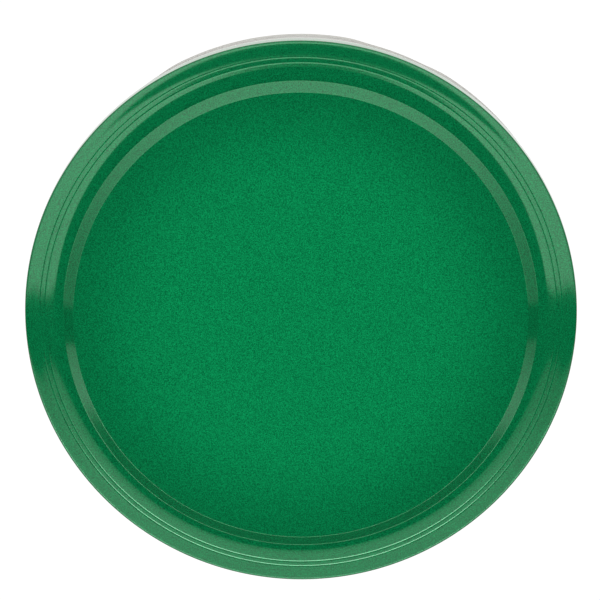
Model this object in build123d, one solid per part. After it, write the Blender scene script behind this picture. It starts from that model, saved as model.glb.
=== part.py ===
from build123d import *
from math import atan2, cos, radians, sin, tan
import os

# A lug cap for a wide jar, pressed from one sheet, with a flowed-in sealing ring.
# Millimetres, +Z up. The cap stands on its curl: its axis is Z and the ground is Z = 0.

# Pressed sheet
sheet = 0.20
overall_height = 14.0
skirt_radius = 42.3

# Skirt, and the sloping rim from its shoulder in to the creases
skirt_taper_top = 9.0
skirt_pull_in = 0.83
shoulder_round = 0.5
rim_slope_width = 2.25
rim_slope_angle = 14.0

# Fine creases coined into the outer skin, as narrow level lines on a slope
crease_count = 2
crease_width = 0.2
crease_gap = 0.57
crease_slope_angle = 17.5
crease_slope_width = 1.39
slope_start_round = 5.7

# Sealing channel, and the bevel from it up to the raised panel
channel_width = 1.34
bevel_foot_round = 0.7
bevel_angle = 40.0
bevel_height = 1.3
panel_edge_round = 0.5

# Flats in which a round is laid out, so that the thin sheet stays light to mesh
bevel_flat_count = 1
slope_flat_count = 1
shoulder_flat_count = 2
curl_flat_count = 2

# Rolled curl at the foot of the skirt
curl_width = 1.9
curl_height = 2.2
curl_round = 0.85
curl_end_gap = 0.5
curl_end_drop = 0.3

# Lugs, where the curl is pressed flat towards the axis
lug_count = 6
lug_phase = 12.0
lug_half_angle = 5.0
lug_ramp_angle = 7.0
lug_reach = 2.8
lug_height = 1.15
lug_round = 0.48
lug_end_gap = 0.9
lug_end_drop = 0.12
lug_dent = 0.3
lug_zone_height = 4.4
lug_seat = 0.02
lug_overlap = 0.35
lug_overlap_angle = 0.3
ramp_station_count = 2

# Sealing ring, flowed into the channel and set
seal_toe_gap = 0.65
seal_toe_height = 0.15
seal_ramp_width = 1.4
seal_depth = 0.8
seal_heel_gap = 1.2

crease_pitch = crease_width + crease_gap
rim_start_radius = skirt_radius - rim_slope_width
creases_start_radius = rim_start_radius - crease_count * crease_pitch + crease_gap
slope_start_radius = creases_start_radius - crease_slope_width
bevel_foot_radius = slope_start_radius - channel_width
panel_radius = bevel_foot_radius - bevel_height / tan(radians(bevel_angle))
channel_top = overall_height - bevel_height
crease_slope = tan(radians(crease_slope_angle))
creases_start_height = channel_top - crease_slope_width * crease_slope
rim_start_height = creases_start_height - (crease_count - 1) * crease_gap * crease_slope
shoulder_height = rim_start_height - rim_slope_width * tan(radians(rim_slope_angle))
curl_radius = skirt_radius - skirt_pull_in
window_half_angle = lug_half_angle + lug_ramp_angle
window_inner_radius = curl_radius - 2 * curl_width
window_outer_radius = skirt_radius + curl_width
sharp = (0, 0)


# Radius of the cap's outer skin on the tapered part of the skirt.
def skirt_skin_radius(height):
    taper = (skirt_taper_top - height) / (skirt_taper_top - curl_height)
    return skirt_radius - skirt_pull_in * max(0.0, min(1.0, taper))


# A value between its size on the round curl (share 0) and on a lug (share 1).
def between(on_curl, on_lug, share):
    return on_curl + (on_lug - on_curl) * share


# Corners and rounds of the cap's top, from the axis to the skirt, with or without the creases.
# A round is its radius and the number of its flats.
def top_outline(creased):
    corners = [(0, overall_height), (panel_radius, overall_height), (bevel_foot_radius, channel_top)]
    rounds = [(panel_edge_round, bevel_flat_count), (bevel_foot_round, bevel_flat_count)]
    corners.append((slope_start_radius, channel_top))
    rounds.append((slope_start_round, slope_flat_count))
    if creased:
        for crease in range(crease_count):
            inner_edge = creases_start_radius + crease * crease_pitch
            height = creases_start_height - crease * crease_gap * crease_slope
            corners += [(inner_edge, height), (inner_edge + crease_width, height)]
            rounds += [sharp, sharp]
    else:
        corners.append((rim_start_radius, rim_start_height))
        rounds.append(sharp)
    corners += [(skirt_radius, shoulder_height), (skirt_radius, skirt_taper_top)]
    rounds += [(shoulder_round, shoulder_flat_count), sharp]
    return corners, rounds


# Corners and rounds of the skirt's foot, rolled inwards: round on the curl, flat on a lug.
def foot_outline(share):
    wall = curl_radius - lug_dent * share
    inner = wall - between(curl_width, lug_reach, share)
    top = between(curl_height, lug_height, share)
    turn = (between(curl_round, lug_round, share), curl_flat_count)
    end_radius = wall - between(curl_end_gap, lug_end_gap, share)
    end_height = top - between(curl_end_drop, lug_end_drop, share)
    corners = [(wall, curl_height), (wall, 0), (inner, 0), (inner, top), (end_radius, end_height)]
    return corners, [sharp, turn, turn, turn]


# Points of an outline with its rounds laid out, at a depth under the outer skin.
def skin_points(corners, rounds, depth):
    points = [Vector(*corner) for corner in corners]
    runs = [(end - start).normalized() for start, end in zip(points, points[1:])]
    rights = [Vector(run.Y, -run.X) for run in runs]
    skin = [points[0] + rights[0] * depth]
    for index, (size, flats) in enumerate(rounds):
        before, after = rights[index], rights[index + 1]
        to_mitre = (before + after) / (1 + before.dot(after))
        if not size:
            skin.append(points[index + 1] + to_mitre * depth)
            continue
        turn = atan2(runs[index].cross(runs[index + 1]).Z, runs[index].dot(runs[index + 1]))
        inwards = 1 if turn < 0 else -1
        centre = points[index + 1] + to_mitre * (inwards * size)
        spoke = before * (depth - inwards * size)
        for flat in range(flats + 1):
            angle = turn * flat / flats
            skin.append(centre + Vector(
                spoke.X * cos(angle) - spoke.Y * sin(angle),
                spoke.X * sin(angle) + spoke.Y * cos(angle),
            ))
    skin.append(points[-1] + rights[-1] * depth)
    return skin


# Closed section of sheet between an outer and an inner skin.
def sheet_section(plane, outer_skin, inner_skin):
    with BuildSketch(plane) as section:
        with BuildLine():
            Polyline(*outer_skin, *reversed(inner_skin), close=True)
        make_face()
    return section.sketch


# Upright plane through the axis, turned to an angle, with its X pointing outwards.
def radial_plane(angle):
    turn = radians(angle)
    return Plane(origin=(0, 0, 0), x_dir=(cos(turn), sin(turn), 0), z_dir=(sin(turn), -cos(turn), 0))


# Panel, bevel, channel, creases, rim, skirt and round curl, turned as one sheet.
def round_cap():
    foot_corners, foot_rounds = foot_outline(0)
    creased_corners, creased_rounds = top_outline(True)
    plain_corners, plain_rounds = top_outline(False)
    outer_skin = skin_points(creased_corners + foot_corners, creased_rounds + foot_rounds, 0)
    inner_corners, inner_rounds = plain_corners + foot_corners, plain_rounds + foot_rounds
    inner_skin = skin_points(inner_corners, inner_rounds, sheet)
    return revolve(sheet_section(Plane.XZ, outer_skin, inner_skin), Axis.Z)


# Wedge that takes the round curl away where a lug goes.
def lug_window():
    with BuildSketch(radial_plane(-window_half_angle)) as section:
        with BuildLine():
            Polyline(
                (window_inner_radius, -curl_height),
                (window_outer_radius, -curl_height),
                (window_outer_radius, lug_zone_height),
                (window_inner_radius, lug_zone_height),
                close=True,
            )
        make_face()
    return revolve(section.sketch, Axis.Z, 2 * window_half_angle)


# Section of the pressed zone, set in from the skins of the sheet that it grows out of.
def lug_section(angle, share):
    top = lug_zone_height + lug_overlap
    foot_corners, foot_rounds = foot_outline(share)
    corners = [(skirt_skin_radius(top), top)] + foot_corners
    outer_skin = skin_points(corners, foot_rounds, lug_seat)
    inner_skin = skin_points(corners, foot_rounds, sheet - lug_seat)
    return sheet_section(radial_plane(angle), outer_skin, inner_skin)


# One lug: the curl runs down to it, lies flat towards the axis and runs up again.
def lug():
    ramp = []
    for station in range(ramp_station_count + 1):
        step = station / ramp_station_count
        overlap = lug_overlap_angle if station == 0 else 0
        angle = window_half_angle - lug_ramp_angle * step + overlap
        ramp.append((angle, step * step * (3 - 2 * step)))
    stations = ramp + [(-angle, share) for angle, share in reversed(ramp)]
    return loft([lug_section(angle, share) for angle, share in stations], ruled=True)


# The whole cap as one pressed sheet.
def lid_shell(cap):
    places = PolarLocations(0, lug_count, lug_phase)
    window, pressed_lug = lug_window(), lug()
    shell = cap - [place * window for place in places]
    return shell + [place * pressed_lug for place in places]


# Sealing ring: it lies level under the channel and the sloping rim, from its toe to its thin heel.
def sealing_ring(cap):
    channel_roof = channel_top - sheet
    seal_toe_radius = bevel_foot_radius + seal_toe_gap
    seal_floor = channel_roof - seal_toe_height - seal_depth
    seal_heel_radius = skirt_radius - sheet - seal_heel_gap
    with BuildSketch(Plane.XZ) as section:
        with BuildLine():
            Polyline(
                (seal_toe_radius, overall_height),
                (seal_toe_radius, channel_roof - seal_toe_height),
                (seal_toe_radius + seal_ramp_width, seal_floor),
                (seal_heel_radius, seal_floor),
                (seal_heel_radius, overall_height),
                close=True,
            )
        make_face()
    pieces = (revolve(section.sketch, Axis.Z) - cap).solids()
    return pieces.sort_by(Axis.Z)[0]


os.makedirs("parts", exist_ok=True)
cap = round_cap()
export_step(lid_shell(cap), "parts/lid_shell.step")
export_step(sealing_ring(cap), "parts/sealing_ring.step")
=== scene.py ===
from math import atan2, cos, pi, radians, sin, tan

import bpy
from mathutils import Matrix, Vector


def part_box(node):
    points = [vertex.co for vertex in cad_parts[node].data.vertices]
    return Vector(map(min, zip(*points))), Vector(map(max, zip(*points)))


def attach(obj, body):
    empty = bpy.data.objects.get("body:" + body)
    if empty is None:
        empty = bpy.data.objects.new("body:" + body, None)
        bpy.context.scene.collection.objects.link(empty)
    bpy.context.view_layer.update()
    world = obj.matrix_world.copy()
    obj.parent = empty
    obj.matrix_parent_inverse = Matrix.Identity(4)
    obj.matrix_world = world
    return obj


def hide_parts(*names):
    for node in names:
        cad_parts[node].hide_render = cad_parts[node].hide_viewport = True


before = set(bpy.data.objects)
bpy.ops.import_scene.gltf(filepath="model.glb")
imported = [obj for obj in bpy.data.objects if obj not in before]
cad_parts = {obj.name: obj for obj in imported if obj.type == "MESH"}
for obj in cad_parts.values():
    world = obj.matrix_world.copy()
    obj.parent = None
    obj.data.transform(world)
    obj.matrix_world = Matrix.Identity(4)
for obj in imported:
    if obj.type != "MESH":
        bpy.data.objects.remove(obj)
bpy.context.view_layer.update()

# Pressed-steel twist-off lid in satin green stove lacquer, seen from above. Profiles are in millimetres.
mm = 0.001
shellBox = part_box("lid_shell")
lidHeight = shellBox[1][2] / mm
lidRadius = (shellBox[1][0] - shellBox[0][0]) / 2 / mm


def linearColour(code):
    # sRGB hex, as on a paint chart, to the linear values that a shader takes
    parts = [int(code[i:i + 2], 16) / 255 for i in (1, 3, 5)]
    return [c / 12.92 if c <= 0.04045 else ((c + 0.055) / 1.055) ** 2.4 for c in parts] + [1.0]


# Profile of the pressing

profile = {
    "sheet": 0.20,
    "panelEdgeRound": 0.14, "bevelHeight": 1.3, "bevelAngle": 40.0, "bevelFootRound": 0.16,
    "channelWidth": 1.34, "slopeStartRound": 5.7,
    "creaseCount": 2, "creaseWidth": 0.14, "creaseGap": 0.63, "creaseRound": 0.1,
    "lipWidth": 0.15, "lipAngle": 21.0,     # the sheet dips more steeply just before each crease
    "creaseSlopeAngle": 16.5, "creaseSlopeWidth": 1.45,
    "rimSlopeAngle": 14.87, "rimSlopeWidth": 2.25, "rimStartRound": 6.0,
    "sagSlopes": ((0.45, 16.1), (1.0, 13.4)), "sagRound": 16.0,    # the rim's slope dips a little halfway
    "shoulderRound": 0.5,
    "taperTop": 9.0, "taperRound": 6.0, "pullIn": 0.83,
    "printEdge": 9.0,       # height at which the green coat ends and the bare tinplate begins
}
curl = {"width": 1.9, "height": 2.2, "round": 0.85, "endGap": 0.5, "endDrop": 0.3}
lug = {"width": 2.8, "height": 1.15, "round": 0.48, "endGap": 0.9, "endDrop": 0.12}
lugPlaces = {"count": 6, "phase": 12.0, "halfAngle": 5.0, "rampAngle": 7.0, "dent": 0.3}
meshing = {"turns": 432, "arcStep": 8.0, "support": 0.08, "panelRings": 8}

creasePitch = profile["creaseWidth"] + profile["creaseGap"]
rimStart = lidRadius - profile["rimSlopeWidth"]
creasesStart = rimStart - profile["creaseCount"] * creasePitch + profile["creaseGap"]
slopeStart = creasesStart - profile["creaseSlopeWidth"]
bevelFoot = slopeStart - profile["channelWidth"]
panelRadius = bevelFoot - profile["bevelHeight"] / tan(radians(profile["bevelAngle"]))
channelTop = lidHeight - profile["bevelHeight"]
creaseSlope = tan(radians(profile["creaseSlopeAngle"]))
creasesTop = channelTop - profile["creaseSlopeWidth"] * creaseSlope
rimTop = creasesTop - (profile["creaseCount"] - 1) * profile["creaseGap"] * creaseSlope
shoulderHeight = rimTop - profile["rimSlopeWidth"] * tan(radians(profile["rimSlopeAngle"]))


def topOutline(creased):
    # corners from the axis to the foot of the straight skirt, and a round for each corner between
    corners = [(0, lidHeight), (panelRadius, lidHeight), (bevelFoot, channelTop), (slopeStart, channelTop)]
    rounds = [profile[key] for key in ("panelEdgeRound", "bevelFootRound", "slopeStartRound")]
    if creased:
        for crease in range(profile["creaseCount"]):
            inner = creasesStart + crease * creasePitch
            height = creasesTop - crease * profile["creaseGap"] * creaseSlope
            lipTop = (inner - profile["lipWidth"], height + profile["lipWidth"] * tan(radians(profile["lipAngle"])))
            corners += [lipTop, (inner, height), (inner + profile["creaseWidth"], height)]
            rounds += [profile["creaseRound"]] * 3
        for width, angle in profile["sagSlopes"]:
            radius, height = corners[-1]
            corners.append((radius + width, height - width * tan(radians(angle))))
            rounds.append(profile["sagRound"])
    else:
        corners.append((rimStart, rimTop))
        rounds.append(profile["rimStartRound"])
    corners += [(lidRadius, shoulderHeight), (lidRadius, profile["taperTop"])]
    rounds += [profile["shoulderRound"], profile["taperRound"]]
    return corners, rounds


def footOutline(share):
    # the skirt's rolled foot: a round curl at share 0, a lug pressed flat at share 1
    size = {key: curl[key] + (lug[key] - curl[key]) * share for key in curl}
    wall = lidRadius - profile["pullIn"] - lugPlaces["dent"] * share
    inner = wall - size["width"]
    corners = [
        (wall, curl["height"]),
        (wall, 0),
        (inner, 0),
        (inner, size["height"]),
        (wall - size["endGap"], size["height"] - size["endDrop"]),
    ]
    return corners, [profile["taperRound"]] + [size["round"]] * 3


def turnAt(a, b, c):
    into, out = Vector(b) - Vector(a), Vector(c) - Vector(b)
    return atan2(into.x * out.y - into.y * out.x, into.dot(out))


def arcCounts(corners):
    return [max(3, round(abs(turnAt(*three)) / radians(meshing["arcStep"])))
            for three in zip(corners, corners[1:], corners[2:])]


def skinPoints(corners, rounds, counts, depth):
    # one skin of the sheet at a depth under the outer outline, its corners rounded in parallel
    points = [Vector(c) for c in corners]
    runs = [(b - a).normalized() for a, b in zip(points, points[1:])]
    rights = [Vector((run.y, -run.x)) for run in runs]
    arcs = [[points[0] + rights[0] * depth]]
    for i, size in enumerate(rounds):
        before, after = rights[i], rights[i + 1]
        turn = turnAt(*points[i:i + 3])
        inwards = 1 if turn < 0 else -1
        centre = points[i + 1] + (before + after) * (inwards * size / (1 + before.dot(after)))
        spoke = before * (depth - inwards * size)
        arcs.append([centre + Matrix.Rotation(turn * k / counts[i], 2) @ spoke for k in range(counts[i] + 1)])
    arcs.append([points[-1] + rights[-1] * depth])
    skin = list(arcs[0])
    for before, after in zip(arcs, arcs[1:]):
        a, b = before[-1], after[0]
        reach = min(meshing["support"] / max((b - a).length, 1e-6), 0.3)
        skin += [a.lerp(b, reach), a.lerp(b, 1 - reach)]
        skin += after
    return skin


def lugShare(angle):
    # how far the curl is pressed flat at an angle from +X
    pitch = 360 / lugPlaces["count"]
    away = abs((angle - lugPlaces["phase"] + pitch / 2) % pitch - pitch / 2)
    share = (lugPlaces["halfAngle"] + lugPlaces["rampAngle"] - away) / lugPlaces["rampAngle"]
    share = max(0.0, min(1.0, share))
    return share * share * (3 - 2 * share)


def shellLoop(share):
    # section from the axis along the outer skin to the sheet's end, and back along the inner skin
    foot, footRounds = footOutline(share)
    skins = []
    for creased, depth in ((True, 0.0), (False, profile["sheet"])):
        top, topRounds = topOutline(creased)
        corners, rounds = top + foot, topRounds + footRounds
        counts = arcCounts(topOutline(creased)[0] + footOutline(0)[0])
        skins.append(skinPoints(corners, rounds, counts, depth))
    return skins


def splitPanel(skin):
    # rings on the flat panel, so that its shading and its mesh stay even
    axis, edge = skin[0], skin[1]
    rings = meshing["panelRings"]
    return [axis.lerp(skin[2], k / rings) for k in range(rings)] + skin[2:]


def printSplit(skin):
    # one more point where the coat ends on the skirt
    height = profile["printEdge"]
    for k, (a, b) in enumerate(zip(skin, skin[1:])):
        if a.y >= height > b.y and a.x > lidRadius - 2:
            return skin[:k + 1] + [a.lerp(b, (a.y - height) / (a.y - b.y))] + skin[k + 1:]
    return skin


def turnedMesh(name, loops, onAxis):
    # sections stood round the axis, counter-clockwise, with single poles where they start and end
    turns, count = len(loops), len(loops[0])
    verts, faces = [], []
    first, last = (1, count - 1) if onAxis else (0, count)
    width = last - first
    for t, loop in enumerate(loops):
        a = 2 * pi * t / turns
        verts += [(p.x * cos(a) * mm, p.x * sin(a) * mm, p.y * mm) for p in loop[first:last]]
    for t in range(turns):
        n = (t + 1) % turns
        for k in range(width - 1):
            faces.append((t * width + k, t * width + k + 1, n * width + k + 1, n * width + k))
        if not onAxis:
            faces.append((t * width + width - 1, t * width, n * width, n * width + width - 1))
    if onAxis:
        top, bottom = len(verts), len(verts) + 1
        verts += [(0, 0, loops[0][0].y * mm), (0, 0, loops[0][-1].y * mm)]
        for t in range(turns):
            n = (t + 1) % turns
            faces.append((top, t * width, n * width))
            faces.append((bottom, n * width + width - 1, t * width + width - 1))
    mesh = bpy.data.meshes.new(name)
    mesh.from_pydata(verts, [], faces)
    mesh.update()
    mesh.polygons.foreach_set("use_smooth", [True] * len(mesh.polygons))
    return mesh, width


def placed(name, mesh, materials):
    piece = bpy.data.objects.new(name, mesh)
    bpy.context.scene.collection.objects.link(piece)
    for material in materials:
        mesh.materials.append(material)
    return piece


# Materials

def addNode(tree, kind, settings, links=()):
    # one node, with its properties and sockets set and its inputs linked
    node = tree.nodes.new(kind)
    for key, value in settings.items():
        if isinstance(key, int) or key in node.inputs:
            node.inputs[key].default_value = value
        else:
            setattr(node, key, value)
    for key, source in dict(links).items():
        tree.links.new(source, node.inputs[key])
    return node


def newMaterial(name):
    material = bpy.data.materials.new(name)
    material.use_nodes = True
    tree = material.node_tree
    tree.nodes.clear()
    output = tree.nodes.new("ShaderNodeOutputMaterial")
    return material, tree, output


greenCoat = {
    "colour": "#0cb067", "shade": "#007040",
    "metallic": 0.3, "roughness": 0.1, "gloss": 1.0, "glossRoughness": 0.035,
    "grainSize": 0.15,      # mm between the grains, drawn at about twice their real size so that they show
    "peelSize": 0.42,       # mm between the bumps of the satin coat, drawn at twice its real fineness
    "peelDepth": 0.003,     # mm
}
bareTin = {"colour": "#f2f1ec", "roughness": 0.08}
insideLacquer = {"colour": "#c9a35a", "roughness": 0.34}
sealCompound = {"colour": "#d8d6cf", "roughness": 0.55}


def greenStoveLacquer():
    # satin stoving enamel, roller-coated on the sheet before pressing: an even green with a fine
    # orange-peel grain that breaks soft reflections into a sparkle
    material, tree, output = newMaterial("green_stove_lacquer")
    place = addNode(tree, "ShaderNodeTexCoord", {})
    peel = addNode(tree, "ShaderNodeTexNoise",
                   {"Scale": 1 / (greenCoat["peelSize"] * mm), "Detail": 2.0, "Roughness": 0.6},
                   {"Vector": place.outputs["Object"]})
    grain = addNode(tree, "ShaderNodeTexNoise",
                    {"Scale": 1 / (greenCoat["grainSize"] * mm), "Detail": 1.0, "Roughness": 0.5},
                    {"Vector": place.outputs["Object"]})
    contrast = addNode(tree, "ShaderNodeMapRange", {"From Min": 0.3, "From Max": 0.7},
                       {"Value": grain.outputs["Fac"]})
    tone = addNode(tree, "ShaderNodeMix", {"data_type": "RGBA"}, {"Factor": contrast.outputs[0]})
    tone.inputs[6].default_value = linearColour(greenCoat["shade"])
    tone.inputs[7].default_value = linearColour(greenCoat["colour"])
    bump = addNode(tree, "ShaderNodeBump", {"Strength": 1.0, "Distance": greenCoat["peelDepth"] * mm},
                   {"Height": peel.outputs["Fac"]})
    shader = addNode(tree, "ShaderNodeBsdfPrincipled",
                     {"Metallic": greenCoat["metallic"], "Roughness": greenCoat["roughness"],
                      "Coat Weight": greenCoat["gloss"], "Coat Roughness": greenCoat["glossRoughness"]},
                     {"Base Color": tone.outputs[2], "Normal": bump.outputs["Normal"]})
    tree.links.new(shader.outputs[0], output.inputs[0])
    return material


def plainCoat(name, finish, metallic):
    material, tree, output = newMaterial(name)
    place = addNode(tree, "ShaderNodeTexCoord", {})
    cloud = addNode(tree, "ShaderNodeTexNoise", {"Scale": 400.0, "Detail": 3.0},
                    {"Vector": place.outputs["Object"]})
    rough = addNode(tree, "ShaderNodeMapRange",
                    {"To Min": finish["roughness"] - 0.05, "To Max": finish["roughness"] + 0.05},
                    {"Value": cloud.outputs["Fac"]})
    shader = addNode(tree, "ShaderNodeBsdfPrincipled",
                     {"Base Color": linearColour(finish["colour"]), "Metallic": metallic},
                     {"Roughness": rough.outputs[0]})
    tree.links.new(shader.outputs[0], output.inputs[0])
    return material


print("materials")
green = greenStoveLacquer()
tin = plainCoat("bare_tinplate", bareTin, 1.0)
gold = plainCoat("inside_gold_lacquer", insideLacquer, 0.8)
compound = plainCoat("sealing_compound", sealCompound, 0.0)

# The shell: one pressed sheet with its curl and lugs

loops = []
skinLength = 0
for t in range(meshing["turns"]):
    outer, inner = shellLoop(lugShare(360 * t / meshing["turns"]))
    outer, inner = printSplit(splitPanel(outer)), splitPanel(inner)
    skinLength = len(outer)
    loops.append(outer + inner[::-1])
shellMesh, width = turnedMesh("lid_shell_sheet", loops, True)
shell = placed("lid_shell_sheet", shellMesh, [green, tin, gold])
splitAt = next(k for k, p in enumerate(loops[0][:skinLength]) if p.x > lidRadius - 2 and p.y <= profile["printEdge"] + 1e-6)
kinds = []
for poly in shellMesh.polygons:
    ks = sorted(v % width + 1 for v in poly.vertices if v < width * meshing["turns"])
    k = ks[0]
    kinds.append(0 if k < splitAt else 1 if k < skinLength - 1 else 2)
    if len(poly.vertices) == 3:
        kinds[-1] = 0 if poly.center.z > (lidHeight - profile["sheet"] / 2) * mm else 2
shellMesh.polygons.foreach_set("material_index", kinds)
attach(shell, "root")
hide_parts("lid_shell")
print("shell", len(shellMesh.polygons), "faces")

# The sealing ring

seal = {"toeGap": 0.65, "toeHeight": 0.15, "ramp": 1.4, "depth": 0.8, "heelGap": 1.2, "round": 0.05, "clear": 0.002}


def sealLoop():
    # roof: the inner skin over the channel, then the heel, the flat that meets the glass, and the toe
    roofCorners, roofRounds = topOutline(False)
    skin = skinPoints(roofCorners, roofRounds[:-1], arcCounts(roofCorners), profile["sheet"] + seal["clear"])
    heel = lidRadius - profile["sheet"] - seal["heelGap"]
    toe = bevelFoot + seal["toeGap"]
    floor = channelTop - profile["sheet"] - seal["toeHeight"] - seal["depth"]
    roof = []
    for a, b in zip(skin, skin[1:]):
        for edge in (toe, heel):
            if a.x < edge <= b.x:
                roof.append(a.lerp(b, (edge - a.x) / (b.x - a.x)))
        if toe < b.x < heel:
            roof.append(b)
    corners = [roof[-1], (heel, floor), (toe + seal["ramp"], floor),
               (toe, channelTop - profile["sheet"] - seal["toeHeight"]), roof[0]]
    rounds = [seal["round"], seal["round"], 0.05]
    under = skinPoints(corners, rounds, arcCounts(corners), 0.0)
    return roof + under[1:-1]


def ringSweepTree():
    # a closed profile swept round the axis; its X points outwards and its Y down
    tree = bpy.data.node_groups.new("ring_sweep", "GeometryNodeTree")
    sockets = (("Profile", "NodeSocketGeometry"), ("Radius", "NodeSocketFloat"), ("Turns", "NodeSocketInt"),
               ("Finish", "NodeSocketMaterial"))
    for name, kind in sockets:
        tree.interface.new_socket(name=name, in_out="INPUT", socket_type=kind)
    tree.interface.new_socket(name="Ring", in_out="OUTPUT", socket_type="NodeSocketGeometry")
    given = tree.nodes.new("NodeGroupInput").outputs
    profileCurve = addNode(tree, "GeometryNodeMeshToCurve", {}, {"Mesh": given["Profile"]})
    path = addNode(tree, "GeometryNodeCurvePrimitiveCircle", {},
                   {"Radius": given["Radius"], "Resolution": given["Turns"]})
    upright = addNode(tree, "GeometryNodeSetCurveNormal", {"mode": "Z_UP"}, {"Curve": path.outputs["Curve"]})
    swept = addNode(tree, "GeometryNodeCurveToMesh", {},
                    {"Curve": upright.outputs["Curve"], "Profile Curve": profileCurve.outputs["Curve"]})
    real = addNode(tree, "GeometryNodeRealizeInstances", {}, {"Geometry": swept.outputs["Mesh"]})
    finished = addNode(tree, "GeometryNodeSetMaterial", {},
                       {"Geometry": real.outputs["Geometry"], "Material": given["Finish"]})
    ring = tree.nodes.new("NodeGroupOutput")
    tree.links.new(finished.outputs["Geometry"], ring.inputs["Ring"])
    return tree


def sweptRing(name, loop, material):
    radius = (min(p.x for p in loop) + max(p.x for p in loop)) / 2
    base = bpy.data.meshes.new(name + "_profile")
    edges = [(k, (k + 1) % len(loop)) for k in range(len(loop))]
    base.from_pydata([((p.x - radius) * mm, -p.y * mm, 0) for p in loop], edges, [])
    piece = placed(name, base, [])
    tree = ringSweepTree()
    sweep = piece.modifiers.new("ring_sweep", "NODES")
    sweep.node_group = tree
    inputs = {item.name: item.identifier for item in tree.interface.items_tree if item.in_out == "INPUT"}
    sweep[inputs["Radius"]] = radius * mm
    sweep[inputs["Turns"]] = meshing["turns"]
    sweep[inputs["Finish"]] = material
    made = bpy.data.meshes.new_from_object(piece.evaluated_get(bpy.context.evaluated_depsgraph_get()))
    piece.modifiers.remove(sweep)
    made.polygons.foreach_set("use_smooth", [True] * len(made.polygons))
    piece.data = made
    return piece


sealPiece = sweptRing("sealing_ring_compound", sealLoop(), compound)
sealMesh = sealPiece.data
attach(sealPiece, "root")
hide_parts("sealing_ring")
print("sealing ring", len(sealMesh.polygons), "faces")

# Floor, light and camera

studio = {
    "floorSize": 3.0, "floorColour": "#f2f2f0", "floorPaintedShadeColour": "#3c3c3c", "floorNear": 0.046, "floorFar": 0.10,
    "floorWhite": 0.85, "paintedGlowInMirror": 0.95, "paintedShadowReach": 0.7,    # the rest of the floor takes the lid's real shadow; in the lid's reflections a painted shadow is added under the rim
    "paintedGlowReach": (4.0, 40.0), "paintedGlowFar": 0.15,
    "spotHeight": 0.16, "spotAngle": 25.5, "spotPower": 0.42,
}
# the tent round the lid is open overhead and has a gap on each side, a little behind the middle
tent = {
    "openTilt": 22.5, "openEdge": 0.9, "hemTilt": 88.0,
    "gapPlace": 0.25, "gapHalf": 0.06, "gapEdge": 0.04, "turn": 3.5,
    "base": 0.26, "front": 0.75, "high": 0.85, "left": 0.2, "back": 0.45, "overhead": 0.02,
    "stripTilts": (53.0, 59.0), "stripEdge": 1.0, "strip": 4.5,     # a strip lamp behind the cloth, at the back
}
view = {"elevation": 77.6, "distance": 1.0, "roll": 3.0, "lens": 392.7, "aim": (0.00023, -0.00246, 0.0136)}


def studioFloor():
    # a pale floor that the camera sees almost white; the lid's reflections see painted light and shade on it: a
    # white glow just past the rim that fades with distance, a painted shadow under the rim, and dark grey farther
    # out
    half = studio["floorSize"] / 2
    mesh = bpy.data.meshes.new("studio_floor")
    mesh.from_pydata([(-half, -half, 0), (half, -half, 0), (half, half, 0), (-half, half, 0)], [], [(0, 1, 2, 3)])
    material, tree, output = newMaterial("studio_floor")
    path = addNode(tree, "ShaderNodeLightPath", {})
    place = addNode(tree, "ShaderNodeTexCoord", {})
    away = addNode(tree, "ShaderNodeVectorMath", {"operation": "LENGTH"}, {0: place.outputs["Object"]})
    # painted shadow: in reflections the floor's white glow is cut to nothing under the lid's rim, which gives the
    # tin skirt's reflection a dark outer edge
    paintedRimShadow = addNode(tree, "ShaderNodeMapRange",
                      {"From Min": (lidRadius - studio["paintedShadowReach"]) * mm, "From Max": lidRadius * mm,
                       "To Max": studio["paintedGlowInMirror"]},
                      {"Value": away.outputs["Value"]})
    # painted light: that glow fades with distance from the rim, a pool of light round the lid that only reflections
    # see
    paintedGlowFade = addNode(tree, "ShaderNodeMapRange",
                     {"From Min": (lidRadius + studio["paintedGlowReach"][0]) * mm,
                      "From Max": (lidRadius + studio["paintedGlowReach"][1]) * mm,
                      "To Min": 1.0, "To Max": studio["paintedGlowFar"]},
                     {"Value": away.outputs["Value"]})
    paintedFloorGlow = addNode(tree, "ShaderNodeMath", {"operation": "MULTIPLY"},
                     {0: paintedRimShadow.outputs[0], 1: paintedGlowFade.outputs[0]})
    mirrored = addNode(tree, "ShaderNodeMath", {"operation": "MULTIPLY"},
                       {0: path.outputs["Is Glossy Ray"], 1: paintedFloorGlow.outputs[0]})
    seen = addNode(tree, "ShaderNodeMath", {"operation": "MAXIMUM"},
                   {0: path.outputs["Is Camera Ray"], 1: mirrored.outputs[0]})
    share = addNode(tree, "ShaderNodeMath", {"operation": "MULTIPLY", 1: studio["floorWhite"]},
                    {0: seen.outputs[0]})
    # painted shade: away from the lid the floor's colour turns dark grey, so reflections of the far floor and light
    # bounced from it are dark, while the camera still sees the floor almost white
    paintedFarShade = addNode(tree, "ShaderNodeMapRange",
                  {"From Min": studio["floorNear"], "From Max": studio["floorFar"]},
                  {"Value": away.outputs["Value"]})
    tone = addNode(tree, "ShaderNodeMix", {"data_type": "RGBA"}, {"Factor": paintedFarShade.outputs[0]})
    tone.inputs[6].default_value = linearColour(studio["floorColour"])
    tone.inputs[7].default_value = linearColour(studio["floorPaintedShadeColour"])
    matt = addNode(tree, "ShaderNodeBsdfDiffuse", {}, {"Color": tone.outputs[2]})
    paper = addNode(tree, "ShaderNodeMix", {"data_type": "RGBA"}, {"Factor": path.outputs["Is Camera Ray"]})
    paper.inputs[7].default_value = (1.0, 1.0, 1.0, 1.0)
    tree.links.new(tone.outputs[2], paper.inputs[6])
    white = addNode(tree, "ShaderNodeEmission", {"Strength": 1.15}, {"Color": paper.outputs[2]})
    mix = addNode(tree, "ShaderNodeMixShader", {}, {0: share.outputs[0], 1: matt.outputs[0], 2: white.outputs[0]})
    tree.links.new(mix.outputs[0], output.inputs[0])
    floor = placed("studio_floor", mesh, [material])


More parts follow.
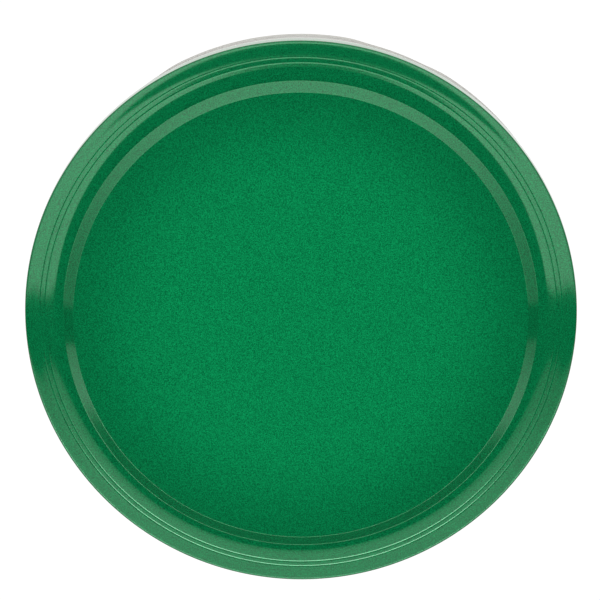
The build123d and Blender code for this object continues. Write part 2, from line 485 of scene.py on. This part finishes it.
def tentLight():
    # how bright the white tent is in each direction, from its parts in the dictionary above
    world = bpy.data.worlds.new("tent")
    world.use_nodes = True
    tree = world.node_tree
    tree.nodes.clear()
    place = addNode(tree, "ShaderNodeTexCoord", {})
    turned = addNode(tree, "ShaderNodeMapping", {"Rotation": (0.0, 0.0, -radians(tent["turn"]))},
                     {"Vector": place.outputs["Generated"]})
    axes = addNode(tree, "ShaderNodeSeparateXYZ", {}, {"Vector": turned.outputs["Vector"]}).outputs

    def ramp(value, start, end, size=1.0):
        return addNode(tree, "ShaderNodeMapRange",
                       {"interpolation_type": "SMOOTHSTEP", "From Min": start, "From Max": end, "To Max": size},
                       {"Value": value}).outputs[0]

    def combine(operation, a, b):
        return addNode(tree, "ShaderNodeMath", {"operation": operation}, {0: a, 1: b}).outputs[0]

    opening = ramp(axes["Z"], cos(radians(tent["openTilt"] - tent["openEdge"])),
                   cos(radians(tent["openTilt"] + tent["openEdge"])))
    hem = ramp(axes["Z"], cos(radians(tent["hemTilt"] + 1)), cos(radians(tent["hemTilt"] - 1)))
    aside = addNode(tree, "ShaderNodeMath", {"operation": "SUBTRACT", 1: tent["gapPlace"]}, {0: axes["Y"]})
    aside = addNode(tree, "ShaderNodeMath", {"operation": "ABSOLUTE"}, {0: aside.outputs[0]}).outputs[0]
    gap = ramp(aside, tent["gapHalf"], tent["gapHalf"] + tent["gapEdge"])
    front = ramp(axes["Y"], 0.1, -0.9, tent["front"])
    high = combine("MULTIPLY", ramp(axes["Z"], 0.3, 0.9, tent["high"]), ramp(axes["Y"], 0.35, 0.15))
    left = combine("MULTIPLY", ramp(axes["X"], 0.0, 0.7, tent["left"]), ramp(axes["Y"], 0.15, 0.35))
    back = ramp(axes["Y"], 0.3, 0.6, tent["back"])
    stripTop, stripFoot = (cos(radians(tilt)) for tilt in tent["stripTilts"])
    stripEdge = sin(radians(tent["stripEdge"]))
    strip = combine("MULTIPLY", ramp(axes["Z"], stripFoot - stripEdge, stripFoot + stripEdge, tent["strip"]),
                    ramp(axes["Z"], stripTop + stripEdge, stripTop - stripEdge))
    back = combine("ADD", back, combine("MULTIPLY", strip, ramp(axes["Y"], 0.3, 0.6)))
    cloth = combine("ADD", combine("ADD", front, high), combine("ADD", left, back))
    cloth = addNode(tree, "ShaderNodeMath", {"operation": "ADD", 1: tent["base"]}, {0: cloth}).outputs[0]
    cloth = combine("MULTIPLY", combine("MULTIPLY", cloth, gap), combine("MULTIPLY", opening, hem))
    cloth = addNode(tree, "ShaderNodeMath", {"operation": "ADD", 1: tent["overhead"]}, {0: cloth})
    light = addNode(tree, "ShaderNodeBackground", {}, {"Strength": cloth.outputs[0]})
    output = tree.nodes.new("ShaderNodeOutputWorld")
    tree.links.new(light.outputs[0], output.inputs[0])
    bpy.context.scene.world = world


def spotLight():
    # a snooted lamp over the panel that gives its middle a soft glow
    lamp = bpy.data.lights.new("panel_spot", "SPOT")
    lamp.energy = studio["spotPower"]
    lamp.spot_size = radians(studio["spotAngle"])
    lamp.spot_blend = 0.7
    lamp.shadow_soft_size = 0.004
    light = bpy.data.objects.new("panel_spot", lamp)
    bpy.context.scene.collection.objects.link(light)
    light.location = (0, 0, studio["spotHeight"] + lidHeight * mm)
    light.visible_glossy = False
    light.visible_camera = False


def photoCamera():
    e = radians(view["elevation"])
    towards = Vector((0, -cos(e), sin(e)))
    up = (Vector((0, -1, 0)) - towards * Vector((0, -1, 0)).dot(towards)).normalized()
    up = Matrix.Rotation(radians(view["roll"]), 3, towards) @ up
    side = up.cross(towards)
    place = Vector(view["aim"]) + towards * view["distance"]
    turn = Matrix((side, up, towards)).transposed().to_4x4()
    camera = bpy.data.cameras.new("camera")
    camera.lens = view["lens"]
    camera.clip_start = 0.05
    cameraObject = bpy.data.objects.new("camera", camera)
    bpy.context.scene.collection.objects.link(cameraObject)
    cameraObject.matrix_world = Matrix.Translation(place) @ turn
    bpy.context.scene.camera = cameraObject


studioFloor()
tentLight()
spotLight()
photoCamera()
bpy.context.scene.view_settings.view_transform = "Standard"
print("studio")
